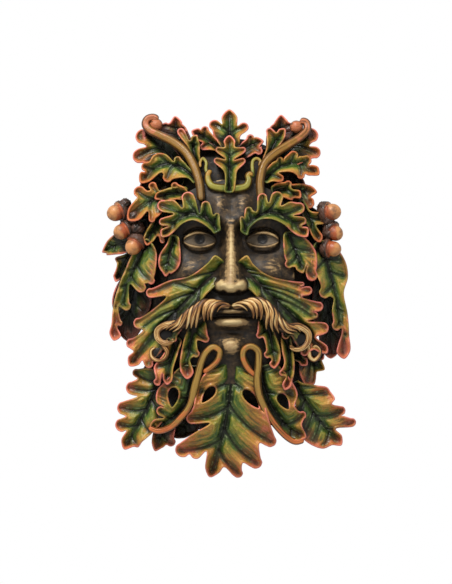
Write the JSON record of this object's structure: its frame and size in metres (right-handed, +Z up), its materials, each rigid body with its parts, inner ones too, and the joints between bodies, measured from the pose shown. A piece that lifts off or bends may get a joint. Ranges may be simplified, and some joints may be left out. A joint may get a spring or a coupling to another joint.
{
  "type": "green man wall mask",
  "caption": "Wall plaque in the form of a calm bearded face grown over with oak leaves, acorns and curling stems, cast in one piece with a flat back and a hanging slot.",
  "frame": {"origin": "middle of the flat back, where the casting rests on the wall", "axes": "+Z up, the face looks along -Y, +X to the viewer's right"},
  "size_m": [0.1507, 0.0595, 0.2182],
  "materials": {
    "painted_resin": "hand-painted cast resin, green, ochre, salmon pink and dark brown, with a soft sheen"
  },
  "bodies": {
    "root": {"green_man_mask": "painted_resin"}
  },
  "joints": []
}
